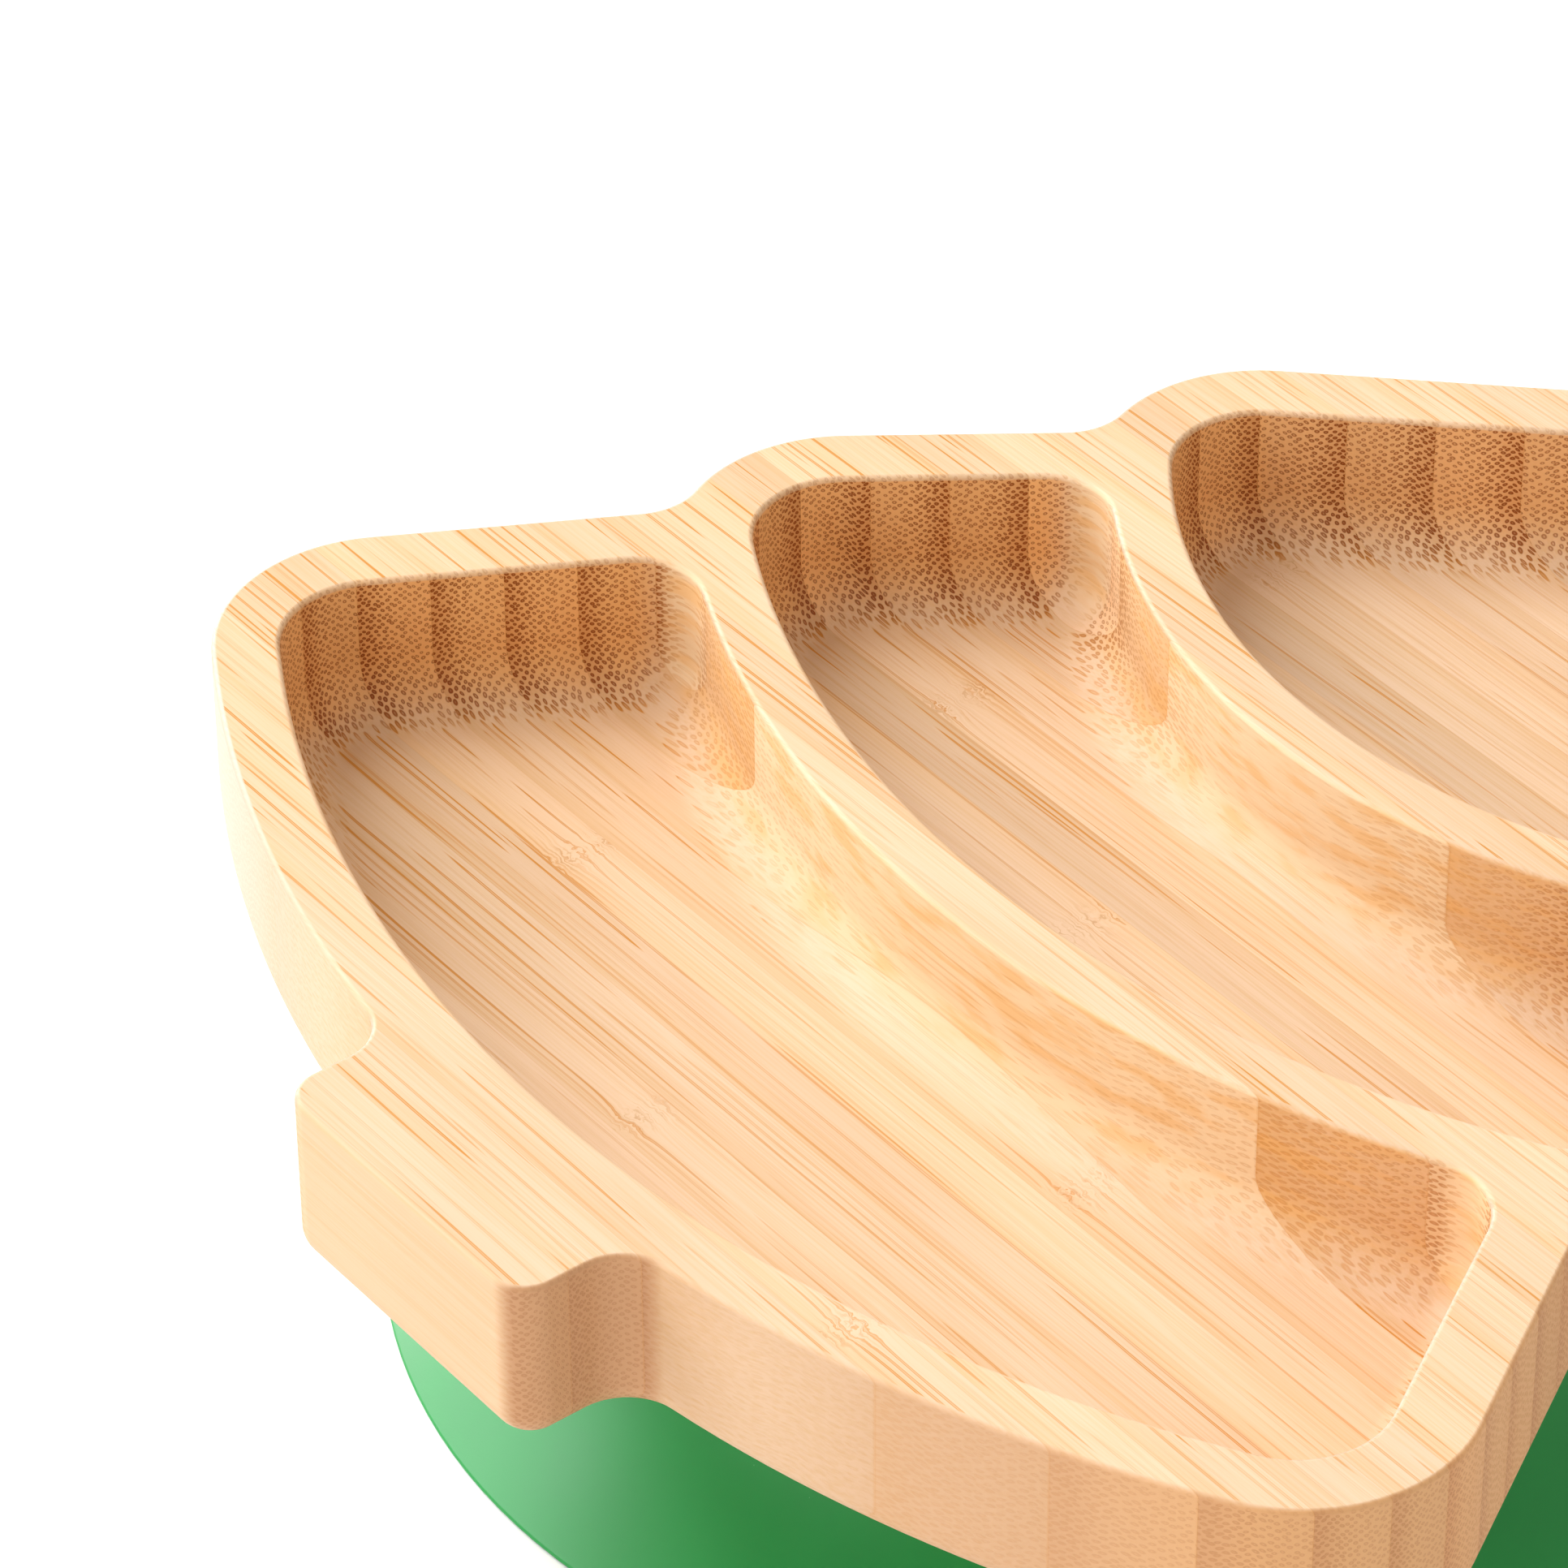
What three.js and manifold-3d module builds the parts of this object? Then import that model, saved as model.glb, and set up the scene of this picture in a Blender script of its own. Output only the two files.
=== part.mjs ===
// A child's bamboo plate in the outline of a fir tree, on a removable silicone suction base.
// Millimetres, +Z up. The trunk points to -Y, the treetop to +Y and the branch tips to +X and -X.
// The origin is on the table, under the middle of the plate's length and width.

import * as THREE from "three";
import { mergeVertices } from "three/addons/utils/BufferGeometryUtils.js";
import Module from "manifold-3d";

// Plate outline, seen from above
const PLATE_WIDTH = 182; // across the lower tier's tips
const TRUNK_WIDTH = 39.2;
const TRUNK_LENGTH = 11.8; // from the trunk's end to the front edge, on the centre line
const TRUNK_CORNER = 4;
const TRUNK_FILLET = 5.5; // where the trunk runs into the front edge
const TIP_RADIUS = 18.4; // every branch tip
const TIP_OVERHANG = 11.3; // how far a tip stands out from the side of the tier below
const NOTCH_RADIUS = 7.4; // between two tiers
const APEX_RADIUS = 18.4;
const MIDDLE_RISE = 49.2; // from the lower tier's tips to the middle tier's
const TOP_RISE = 42.9; // from the middle tier's tips to the top tier's
const LOWER_SAG = 20.4; // how far a tier's curved front edge drops between its tips
const MIDDLE_SAG = 15.1;
const TOP_SAG = 14.2;
const LOWER_LEAN = THREE.MathUtils.degToRad(30); // how far a tier's sides lean in
const MIDDLE_LEAN = THREE.MathUtils.degToRad(37);
const TOP_LEAN = THREE.MathUtils.degToRad(45);

// Compartments and edges of the plate
const SIDE_RIM = 8.3;
const FRONT_RIM = 7.2;
const DIVIDER = 6.8;
const PLATE_THICKNESS = 20;
const FLOOR_THICKNESS = 3.5;
const FLOOR_FILLET = 6.4; // where a compartment's wall runs into its floor
const INNER_CORNER = 7.4; // where a compartment's side meets the divider above it
const TOP_EASE = 0.6; // rounding of the upper edges
const BOTTOM_EASE = 3.5;

// Bamboo strips glued edge to edge
const STRIP_COUNT = 30;
const FIRST_STRIP_TRIM = 0.8; // planed off the first strip, at the trunk's end
const LAST_STRIP_TRIM = 3; // cut off the last strip, at the treetop
const GLUE_LINE = 0.1;

// Silicone suction base
const BASE_HEIGHT = 31; // from the table to the underside of the plate
const BASE_RADIUS = 72.3; // at the suction lip
const BASE_SETBACK = 84.8; // from the trunk's end to the base's axis
const SEAT_RADIUS = 48; // flat top that carries the plate
const SEAT_THICKNESS = 3.2;
const SEAT_CLEARANCE = 0.2;
const SKIRT_THICKNESS = 3;
const LIP_WIDTH = 8; // flat ring that seals on the table
const LIP_THICKNESS = 1.6;
const BEAD_INSET = 9; // from the seat's edge to the middle of the locating bead
const BEAD_WIDTH = 5;
const BEAD_HEIGHT = 1.4;
const BEAD_CHAMFER = 0.5;
const BEAD_CLEARANCE = 0.2;

// Fineness of the faceted surfaces
const FACET_DEVIATION = 0.08; // between a round outline and its chords
const FILLET_STEPS = 4;
const EASE_STEPS = 2;
const BASE_SEGMENTS = 48;
const SKIRT_STEPS = 7;
const WELD = 1e-4;
const OVERCUT = 1; // how far a cutting tool runs past the face it cuts

const wasm = await Module();
wasm.setup();

// Solids

function solidOf(geometry) {
  const bare = new THREE.BufferGeometry();
  bare.setAttribute("position", geometry.getAttribute("position"));
  bare.setIndex(geometry.getIndex());
  const welded = mergeVertices(bare, WELD);
  const corners = welded.index.array;
  const triVerts = [];
  for (let i = 0; i < corners.length; i += 3) {
    const triangle = corners.slice(i, i + 3);
    if (new Set(triangle).size === 3) triVerts.push(...triangle);
  }
  const vertProperties = welded.attributes.position.array;
  const mesh = new wasm.Mesh({ numProp: 3, vertProperties, triVerts: new Uint32Array(triVerts) });
  return new wasm.Manifold(mesh);
}

function meshOf(name, solid, material) {
  const { vertProperties, triVerts } = solid.getMesh();
  const geometry = new THREE.BufferGeometry();
  geometry.setAttribute("position", new THREE.BufferAttribute(vertProperties, 3));
  geometry.setIndex(new THREE.BufferAttribute(triVerts, 1));
  geometry.computeVertexNormals();
  const mesh = new THREE.Mesh(geometry, material);
  mesh.name = name;
  return mesh;
}

// A block from one corner to the opposite one.
function block(low, high) {
  const size = high.clone().sub(low);
  const centre = low.clone().add(high).multiplyScalar(0.5);
  return solidOf(new THREE.BoxGeometry(size.x, size.y, size.z).translate(centre.x, centre.y, centre.z));
}

// A profile of (radius, height) points turned round the Z axis.
function turned(profile) {
  return solidOf(new THREE.LatheGeometry(profile, BASE_SEGMENTS).rotateX(Math.PI / 2));
}

// Outlines: chains of arcs, counter-clockwise, each tangent to the next or to the line that joins them

function arc(x, y, radius, from, to, hollow = false) {
  return { x, y, radius, from, to, hollow };
}

function heading(from, to) {
  return Math.atan2(to.y - from.y, to.x - from.x);
}

// The outline's right half and its mirror image.
function mirrored(half) {
  const image = half.map((a) => arc(-a.x, a.y, a.radius, Math.PI - a.to, Math.PI - a.from, a.hollow));
  return [...half, ...image.reverse()];
}

// The points of an outline pushed outwards by an offset. Every offset gives the same number of points.
function ringPoints(arcs, offset) {
  const points = [];
  for (const { x, y, radius, from, to, hollow } of arcs) {
    const turn = THREE.MathUtils.euclideanModulo(hollow ? from - to : to - from, 2 * Math.PI);
    const steps = Math.max(1, Math.ceil(turn / (2 * Math.acos(1 - FACET_DEVIATION / radius))));
    const reach = radius + (hollow ? -offset : offset);
    const curve = new THREE.EllipseCurve(x, y, reach, reach, from, to, hollow);
    for (const point of curve.getPoints(steps)) {
      const last = points.at(-1);
      if (!last || last.distanceTo(point) > WELD) points.push(point);
    }
  }
  if (points[0].distanceTo(points.at(-1)) < WELD) points.pop();
  return points;
}

// A closed solid through copies of one outline, from the lowest level to the highest.
function loft(arcs, levels) {
  const rings = levels.map(({ offset }) => ringPoints(arcs, offset));
  const count = rings[0].length;
  const positions = rings.flatMap((ring, level) => ring.flatMap((p) => [p.x, p.y, levels[level].z]));
  const index = [];
  for (let level = 0; level + 1 < levels.length; level += 1) {
    for (let i = 0; i < count; i += 1) {
      const a = level * count + i;
      const b = level * count + ((i + 1) % count);
      index.push(a, b, b + count, a, b + count, a + count);
    }
  }
  const top = count * (levels.length - 1);
  for (const [a, b, c] of THREE.ShapeUtils.triangulateShape(rings[0], [])) index.push(c, b, a);
  for (const [a, b, c] of THREE.ShapeUtils.triangulateShape(rings.at(-1), [])) {
    index.push(top + a, top + b, top + c);
  }
  const geometry = new THREE.BufferGeometry();
  geometry.setAttribute("position", new THREE.Float32BufferAttribute(positions, 3));
  geometry.setIndex(index);
  return solidOf(geometry);
}

// Tiers of the tree: each has a tip circle and, tangent to it, a straight side that leans in

// The side's outward direction is at the angle lean, and its distance from the origin is reach.
function tier(tip, lean, sag) {
  const reach = tip.x * Math.cos(lean) + tip.y * Math.sin(lean) + TIP_RADIUS;
  const dropRadius = (tip.x * tip.x + sag * sag) / (2 * sag);
  const frontCentre = new THREE.Vector2(0, tip.y - sag + dropRadius);
  return { tip, lean, reach, frontCentre, dropRadius };
}

// The next tier's tip stands out from this tier's side by the overhang.
function tipAbove({ tip, lean, reach }, rise) {
  const y = tip.y + rise;
  const depth = reach - TIP_RADIUS + TIP_OVERHANG;
  return new THREE.Vector2((depth - y * Math.sin(lean)) / Math.cos(lean), y);
}

const lowerTip = new THREE.Vector2(PLATE_WIDTH / 2 - TIP_RADIUS, TRUNK_LENGTH + TIP_RADIUS + LOWER_SAG);
const lowerTier = tier(lowerTip, LOWER_LEAN, LOWER_SAG);
const middleTier = tier(tipAbove(lowerTier, MIDDLE_RISE), MIDDLE_LEAN, MIDDLE_SAG);
const topTier = tier(tipAbove(middleTier, TOP_RISE), TOP_LEAN, TOP_SAG);

// The lowest point beside a tier's side, at a depth inside it and a distance from a centre.
function pointBeside({ lean, reach }, depth, centre, distance) {
  const out = new THREE.Vector2(Math.cos(lean), Math.sin(lean));
  const up = new THREE.Vector2(-out.y, out.x);
  const across = reach - depth - centre.dot(out);
  const along = Math.sqrt(distance * distance - across * across);
  return centre.clone().addScaledVector(out, across).addScaledVector(up, -along);
}

// The centre of a circle on the centre line that touches both of a tier's sides from inside.
function crownCentre({ lean, reach }, depth) {
  return new THREE.Vector2(0, (reach - depth) / Math.sin(lean));
}

const apexCentre = crownCentre(topTier, APEX_RADIUS);
const PLATE_LENGTH = apexCentre.y + APEX_RADIUS;

function plateOutline() {
  const front = lowerTier.frontCentre;
  const frontRadius = lowerTier.dropRadius + TIP_RADIUS;
  const filletX = TRUNK_WIDTH / 2 + TRUNK_FILLET;
  const filletReach = frontRadius + TRUNK_FILLET;
  const fillet = new THREE.Vector2(filletX, front.y - Math.sqrt(filletReach ** 2 - filletX ** 2));
  const half = [
    arc(TRUNK_WIDTH / 2 - TRUNK_CORNER, TRUNK_CORNER, TRUNK_CORNER, -Math.PI / 2, 0),
    arc(fillet.x, fillet.y, TRUNK_FILLET, Math.PI, heading(fillet, front), true),
    arc(front.x, front.y, frontRadius, heading(front, fillet), heading(front, lowerTip)),
  ];
  let tipStart = heading(front, lowerTip);
  for (const [here, above] of [[lowerTier, middleTier], [middleTier, topTier], [topTier, null]]) {
    half.push(arc(here.tip.x, here.tip.y, TIP_RADIUS, tipStart, here.lean));
    if (!above) break;
    const notch = pointBeside(here, -NOTCH_RADIUS, above.tip, TIP_RADIUS + NOTCH_RADIUS);
    const notchEnd = heading(notch, above.tip);
    half.push(arc(notch.x, notch.y, NOTCH_RADIUS, here.lean + Math.PI, notchEnd, true));
    tipStart = heading(above.tip, notch);
  }
  half.push(arc(apexCentre.x, apexCentre.y, APEX_RADIUS, topTier.lean, Math.PI / 2));
  return mirrored(half);
}

// Compartments: each fills one tier, between its front rim or divider and the divider above it

const TIP_CORNER = TIP_RADIUS - SIDE_RIM;
const CROWN_CORNER = APEX_RADIUS - SIDE_RIM;

// The radius of a compartment's near edge, which the lower tier draws in from its front rim.
function nearRadius({ dropRadius }, rim) {
  return dropRadius + TIP_RADIUS - rim;
}

function compartmentOutline(here, rim, above) {
  const near = here.frontCentre;
  const radius = nearRadius(here, rim);
  const tip = pointBeside(here, SIDE_RIM + TIP_CORNER, near, radius - TIP_CORNER);
  const half = [
    arc(near.x, near.y, radius, -Math.PI / 2, heading(near, tip)),
    arc(tip.x, tip.y, TIP_CORNER, heading(near, tip), here.lean),
  ];
  if (!above) {
    const crown = crownCentre(here, SIDE_RIM + CROWN_CORNER);
    half.push(arc(crown.x, crown.y, CROWN_CORNER, here.lean, Math.PI / 2));
    return mirrored(half);
  }
  const far = above.frontCentre;
  const farRadius = nearRadius(above, SIDE_RIM) + DIVIDER;
  const corner = pointBeside(here, SIDE_RIM + INNER_CORNER, far, farRadius + INNER_CORNER);
  half.push(arc(corner.x, corner.y, INNER_CORNER, here.lean, heading(corner, far)));
  half.push(arc(far.x, far.y, farRadius, heading(far, corner), -Math.PI / 2, true));
  return mirrored(half);
}

// Plate

const quarterSteps = (steps) => Array.from({ length: steps + 1 }, (_, i) => (i / steps) * (Math.PI / 2));

// Levels of the plate's outside, from its rounded lower edge to its eased upper edge.
function plateLevels() {
  const round = Math.min(BOTTOM_EASE, 0.9 * TRUNK_CORNER);
  const lower = quarterSteps(FILLET_STEPS).map((a) => ({
    offset: round * (Math.sin(a) - 1),
    z: round * (1 - Math.cos(a)),
  }));
  const upper = quarterSteps(EASE_STEPS).map((a) => ({
    offset: TOP_EASE * (Math.cos(a) - 1),
    z: PLATE_THICKNESS - TOP_EASE * (1 - Math.sin(a)),
  }));
  return [...lower, ...upper];
}

// Levels of a compartment, from the edge of its flat floor, up the fillet and the wall, and out over the rim.
function compartmentLevels() {
  const fillet = Math.min(FLOOR_FILLET, 0.9 * Math.min(TIP_CORNER, CROWN_CORNER, INNER_CORNER));
  const floor = quarterSteps(FILLET_STEPS).map((a) => ({
    offset: fillet * (Math.sin(a) - 1),
    z: FLOOR_THICKNESS + fillet * (1 - Math.cos(a)),
  }));
  const brim = quarterSteps(EASE_STEPS).map((a) => ({
    offset: TOP_EASE * (1 - Math.cos(a)),
    z: PLATE_THICKNESS - TOP_EASE * (1 - Math.sin(a)),
  }));
  return [...floor, ...brim, { offset: TOP_EASE, z: PLATE_THICKNESS + OVERCUT }];
}

const BEAD_RADIUS = SEAT_RADIUS - BEAD_INSET;

// The round groove in the plate's underside that takes the base's bead.
function grooveTool() {
  const half = BEAD_WIDTH / 2 + BEAD_CLEARANCE;
  const depth = BEAD_HEIGHT - SEAT_CLEARANCE + BEAD_CLEARANCE;
  const corners = [[-half, -OVERCUT], [half, -OVERCUT], [half, depth], [-half, depth], [-half, -OVERCUT]];
  return turned(corners.map(([r, z]) => new THREE.Vector2(BEAD_RADIUS + r, z)))
    .translate([0, BASE_SETBACK, 0]);
}

function plateSolid() {
  const compartments = [
    compartmentOutline(lowerTier, FRONT_RIM, middleTier),
    compartmentOutline(middleTier, SIDE_RIM, topTier),
    compartmentOutline(topTier, SIDE_RIM, null),
  ];
  let plate = loft(plateOutline(), plateLevels());
  for (const outline of compartments) plate = plate.subtract(loft(outline, compartmentLevels()));
  return plate.subtract(grooveTool());
}

const STRIP_TONES = ["#ecd0a4", "#e6c596", "#f0d6ac", "#e2bf8e"];

// The strips run across the plate, and a thin glue line parts each from the next.
function stripMeshes() {
  const plate = plateSolid();
  const strips = [];
  const stripWidth = (FIRST_STRIP_TRIM + PLATE_LENGTH + LAST_STRIP_TRIM) / STRIP_COUNT;
  for (let i = 0; i < STRIP_COUNT; i += 1) {
    const near = i * stripWidth - FIRST_STRIP_TRIM;
    const start = i > 0 ? near + GLUE_LINE / 2 : -OVERCUT;
    const end = i + 1 < STRIP_COUNT ? near + stripWidth - GLUE_LINE / 2 : PLATE_LENGTH + OVERCUT;
    const slab = block(
      new THREE.Vector3(-PLATE_WIDTH, start, -OVERCUT),
      new THREE.Vector3(PLATE_WIDTH, end, PLATE_THICKNESS + OVERCUT),
    );
    const color = STRIP_TONES[i % STRIP_TONES.length];
    const bamboo = new THREE.MeshStandardMaterial({ color, roughness: 0.55, metalness: 0 });
    strips.push(meshOf(`bamboo_strip_${String(i + 1).padStart(2, "0")}`, plate.intersect(slab), bamboo));
  }
  return strips;
}

// Suction base

// Section through the base: diaphragm, skirt, sealing lip, and the seat with its bead.
function baseProfile() {
  const seat = BASE_HEIGHT - SEAT_CLEARANCE;
  const crown = new THREE.Vector2(SEAT_RADIUS, seat - SEAT_THICKNESS);
  const flare = new THREE.Vector2(SEAT_RADIUS + SKIRT_THICKNESS, BASE_HEIGHT / 3);
  const outside = new THREE.QuadraticBezierCurve(crown, flare, new THREE.Vector2(BASE_RADIUS, LIP_THICKNESS));
  const inside = new THREE.QuadraticBezierCurve(
    new THREE.Vector2(crown.x - SKIRT_THICKNESS, crown.y),
    new THREE.Vector2(flare.x - SKIRT_THICKNESS, flare.y - LIP_THICKNESS),
    new THREE.Vector2(BASE_RADIUS - LIP_WIDTH, 0),
  );
  const inner = BEAD_RADIUS - BEAD_WIDTH / 2;
  const outer = BEAD_RADIUS + BEAD_WIDTH / 2;
  const beadTop = seat + BEAD_HEIGHT;
  const bead = [
    [outer, seat],
    [outer, beadTop - BEAD_CHAMFER],
    [outer - BEAD_CHAMFER, beadTop],
    [inner + BEAD_CHAMFER, beadTop],
    [inner, beadTop - BEAD_CHAMFER],
    [inner, seat],
  ].map(([r, z]) => new THREE.Vector2(r, z));
  return [
    new THREE.Vector2(0, crown.y),
    ...inside.getPoints(SKIRT_STEPS),
    new THREE.Vector2(BASE_RADIUS, 0),
    ...outside.getPoints(SKIRT_STEPS).reverse(),
    new THREE.Vector2(SEAT_RADIUS, seat),
    ...bead,
    new THREE.Vector2(0, seat),
  ];
}

function baseMesh() {
  const silicone = new THREE.MeshStandardMaterial({ color: "#3fa35c", roughness: 0.5, metalness: 0 });
  return meshOf("suction_base", turned(baseProfile()), silicone);
}

// Assembly

const plateGroup = new THREE.Group();
plateGroup.add(...stripMeshes());
plateGroup.position.set(0, -PLATE_LENGTH / 2, BASE_HEIGHT);

const baseGroup = new THREE.Group();
baseGroup.add(baseMesh());
baseGroup.position.set(0, BASE_SETBACK - PLATE_LENGTH / 2, 0);

const part = new THREE.Group();
part.add(plateGroup, baseGroup);

export default part;
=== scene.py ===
# A bamboo plate in the outline of a fir tree on a silicone suction base, in a bright studio.

import math
import random
from types import SimpleNamespace

import bmesh
import bpy
from mathutils import Matrix, Vector


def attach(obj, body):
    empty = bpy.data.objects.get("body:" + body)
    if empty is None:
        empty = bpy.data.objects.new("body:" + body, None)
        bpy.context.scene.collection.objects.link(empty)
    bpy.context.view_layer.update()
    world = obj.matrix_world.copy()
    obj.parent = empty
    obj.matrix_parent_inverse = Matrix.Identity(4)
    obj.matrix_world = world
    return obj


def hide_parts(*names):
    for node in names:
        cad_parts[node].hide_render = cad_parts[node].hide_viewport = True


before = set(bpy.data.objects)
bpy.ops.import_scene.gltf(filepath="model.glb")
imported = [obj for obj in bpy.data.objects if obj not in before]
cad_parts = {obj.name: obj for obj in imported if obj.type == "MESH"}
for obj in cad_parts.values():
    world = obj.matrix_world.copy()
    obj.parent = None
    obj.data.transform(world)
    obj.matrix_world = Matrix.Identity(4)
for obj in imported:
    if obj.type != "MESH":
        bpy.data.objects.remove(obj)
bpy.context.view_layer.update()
scene = bpy.context.scene

# Sizes in millimetres, as in the solids
PLATE_WIDTH = 182
TRUNK_WIDTH = 39.2
TRUNK_LENGTH = 11.8
TRUNK_CORNER = 4
TRUNK_FILLET = 5.5
TIP_RADIUS = 18.4
TIP_OVERHANG = 11.3
NOTCH_RADIUS = 7.4
APEX_RADIUS = 18.4
MIDDLE_RISE = 49.2
TOP_RISE = 42.9
LOWER_SAG, MIDDLE_SAG, TOP_SAG = 20.4, 15.1, 14.2
LOWER_LEAN, MIDDLE_LEAN, TOP_LEAN = math.radians(30), math.radians(37), math.radians(45)
SIDE_RIM = 8.3
FRONT_RIM = 7.2
DIVIDER = 6.8
PLATE_THICKNESS = 20
FLOOR_THICKNESS = 3.5
FLOOR_FILLET = 6.4
INNER_CORNER = 7.4
TOP_EASE = 0.6
BOTTOM_EASE = 3.5
STRIP_COUNT = 30
FIRST_STRIP_TRIM = 0.8
LAST_STRIP_TRIM = 3
BASE_HEIGHT = 31
BASE_RADIUS = 72.3
BASE_SETBACK = 84.8
SEAT_RADIUS = 48
SEAT_THICKNESS = 3.2
SEAT_CLEARANCE = 0.2
SKIRT_THICKNESS = 3
LIP_WIDTH = 8
LIP_THICKNESS = 1.6
BEAD_RADIUS = 39
BEAD_WIDTH = 5
BEAD_HEIGHT = 1.4
BEAD_CHAMFER = 0.5
BEAD_CLEARANCE = 0.2
MILLIMETRE = 0.001

# Glue lines and edges of the silicone that are finer than in the solids, in millimetres
GLUE_GAP = 0.004
LIP_EDGE = 0.4
LIP_ROUNDING = 0.3 * LIP_EDGE, 0.6 * LIP_EDGE
SEAT_CORNER = 1.2

# Fineness of the visible surfaces, in millimetres or in steps
DEVIATION = 0.008
TOUCHING = 1e-4
FILLET_STEPS = 12
EASE_STEPS = 6
SKIRT_STEPS = 28
CORNER_STEPS = 5
BASE_SEGMENTS = 144
SHARP_FROM = math.radians(35)


# Outlines: chains of arcs, each tangent to the next or to the line that joins them

def arc(centre, radius, start, end, hollow=False):
    return centre, radius, start, end, hollow


def heading(a, b):
    return math.atan2(b.y - a.y, b.x - a.x)


def mirrored(half):
    image = [arc(Vector((-c.x, c.y)), r, math.pi - e, math.pi - s, h) for c, r, s, e, h in half]
    return half + image[::-1]


def ring(arcs, offset):
    """Points of the outline pushed outwards by offset, each with its outward direction."""
    points = []
    for centre, radius, start, end, hollow in arcs:
        turn = ((start - end) if hollow else (end - start)) % (2 * math.pi)
        steps = max(1, math.ceil(turn / (2 * math.acos(1 - DEVIATION / radius))))
        reach = radius - offset if hollow else radius + offset
        for i in range(steps + 1):
            angle = start + (-turn if hollow else turn) * i / steps
            ray = Vector((math.cos(angle), math.sin(angle)))
            nominal = centre + radius * ray
            if not points or (nominal - points[-1][0]).length > TOUCHING:
                points.append((nominal, centre + reach * ray, -ray if hollow else ray))
    if (points[0][0] - points[-1][0]).length < TOUCHING:
        points.pop()
    return [(point, out) for _, point, out in points]


class Tier:
    """One tier of the tree: a tip circle and a straight side, tangent to it, that leans in."""

    def __init__(self, tip, lean, sag):
        self.tip, self.lean = tip, lean
        self.reach = tip.x * math.cos(lean) + tip.y * math.sin(lean) + TIP_RADIUS
        self.drop = (tip.x ** 2 + sag ** 2) / (2 * sag)
        self.front = Vector((0, tip.y - sag + self.drop))

    def tip_above(self, rise):
        y = self.tip.y + rise
        depth = self.reach - TIP_RADIUS + TIP_OVERHANG
        return Vector(((depth - y * math.sin(self.lean)) / math.cos(self.lean), y))

    def beside(self, depth, centre, distance):
        out = Vector((math.cos(self.lean), math.sin(self.lean)))
        up = Vector((-out.y, out.x))
        across = self.reach - depth - centre.dot(out)
        return centre + out * across - up * math.sqrt(distance ** 2 - across ** 2)

    def crown(self, depth):
        return Vector((0, (self.reach - depth) / math.sin(self.lean)))


lower_tip = Vector((PLATE_WIDTH / 2 - TIP_RADIUS, TRUNK_LENGTH + TIP_RADIUS + LOWER_SAG))
lower = Tier(lower_tip, LOWER_LEAN, LOWER_SAG)
middle = Tier(lower.tip_above(MIDDLE_RISE), MIDDLE_LEAN, MIDDLE_SAG)
top = Tier(middle.tip_above(TOP_RISE), TOP_LEAN, TOP_SAG)
apex = top.crown(APEX_RADIUS)
PLATE_LENGTH = apex.y + APEX_RADIUS
STRIP_WIDTH = (FIRST_STRIP_TRIM + PLATE_LENGTH + LAST_STRIP_TRIM) / STRIP_COUNT
TIP_CORNER = TIP_RADIUS - SIDE_RIM


def plate_outline():
    front, front_radius = lower.front, lower.drop + TIP_RADIUS
    fillet_x = TRUNK_WIDTH / 2 + TRUNK_FILLET
    fillet_reach = front_radius + TRUNK_FILLET
    fillet = Vector((fillet_x, front.y - math.sqrt(fillet_reach ** 2 - fillet_x ** 2)))
    half = [
        arc(Vector((TRUNK_WIDTH / 2 - TRUNK_CORNER, TRUNK_CORNER)), TRUNK_CORNER, -math.pi / 2, 0),
        arc(fillet, TRUNK_FILLET, math.pi, heading(fillet, front), True),
        arc(front, front_radius, heading(front, fillet), heading(front, lower.tip)),
    ]
    tip_start = heading(front, lower.tip)
    for here, above in ((lower, middle), (middle, top)):
        half.append(arc(here.tip, TIP_RADIUS, tip_start, here.lean))
        notch = here.beside(-NOTCH_RADIUS, above.tip, TIP_RADIUS + NOTCH_RADIUS)
        half.append(arc(notch, NOTCH_RADIUS, here.lean + math.pi, heading(notch, above.tip), True))
        tip_start = heading(above.tip, notch)
    half.append(arc(top.tip, TIP_RADIUS, tip_start, top.lean))
    half.append(arc(apex, APEX_RADIUS, top.lean, math.pi / 2))
    return mirrored(half)


def compartment_outline(here, rim, above):
    radius = here.drop + TIP_RADIUS - rim
    tip = here.beside(SIDE_RIM + TIP_CORNER, here.front, radius - TIP_CORNER)
    half = [
        arc(here.front, radius, -math.pi / 2, heading(here.front, tip)),
        arc(tip, TIP_CORNER, heading(here.front, tip), here.lean),
    ]
    if above is None:
        half.append(arc(here.crown(APEX_RADIUS), APEX_RADIUS - SIDE_RIM, here.lean, math.pi / 2))
        return mirrored(half)
    far, far_radius = above.front, above.drop + TIP_RADIUS - SIDE_RIM + DIVIDER
    corner = here.beside(SIDE_RIM + INNER_CORNER, far, far_radius + INNER_CORNER)
    half.append(arc(corner, INNER_CORNER, here.lean, heading(corner, far)))
    half.append(arc(far, far_radius, heading(far, corner), -math.pi / 2, True))
    return mirrored(half)


# Plate

def quarter(steps):
    return [math.pi / 2 * i / steps for i in range(steps + 1)]


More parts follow.
